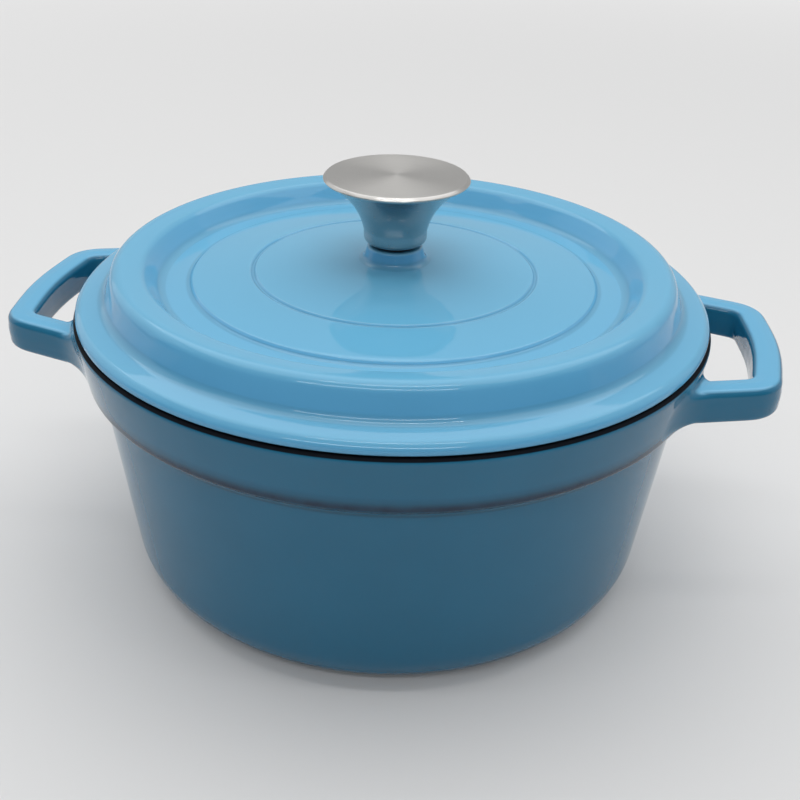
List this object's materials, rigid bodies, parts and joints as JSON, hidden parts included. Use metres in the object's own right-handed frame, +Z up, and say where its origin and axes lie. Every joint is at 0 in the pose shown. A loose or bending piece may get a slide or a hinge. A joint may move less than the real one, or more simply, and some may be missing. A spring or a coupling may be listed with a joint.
{
  "type": "cast iron dutch oven",
  "caption": "Round enamelled cast iron dutch oven with loop handles, a raised-ring lid and a flared steel knob; the lid lifts off.",
  "frame": {"origin": "middle of the base, on the surface that the pot stands on", "axes": "+Z up through the knob, X through the two handles, Y across the pot"},
  "size_m": [0.308, 0.2526, 0.1659],
  "materials": {
    "blue_enamel": "glossy sky blue vitreous enamel on cast iron, pale enamel inside, matt black rim",
    "polished_steel": "polished stainless steel",
    "spun_steel": "spun stainless steel with fine concentric lines",
    "plated_steel": "zinc plated steel",
    "black_rubber": "matt black heat-proof rubber"
  },
  "bodies": {
    "pot": {"pot": "blue_enamel"},
    "lid": {"lid": "blue_enamel", "knob_shell": "polished_steel", "knob_cap": "spun_steel", "knob_insert": "plated_steel", "knob_gasket": "black_rubber", "lid_screw": "plated_steel", "flat_washer": "plated_steel", "spring_washer": "plated_steel"}
  },
  "joints": [
    {"name": "lid_lift", "type": "slide", "parent": "pot", "child": "lid", "axis": [0, 0, 1], "range_m": [0, 0.15]}
  ]
}
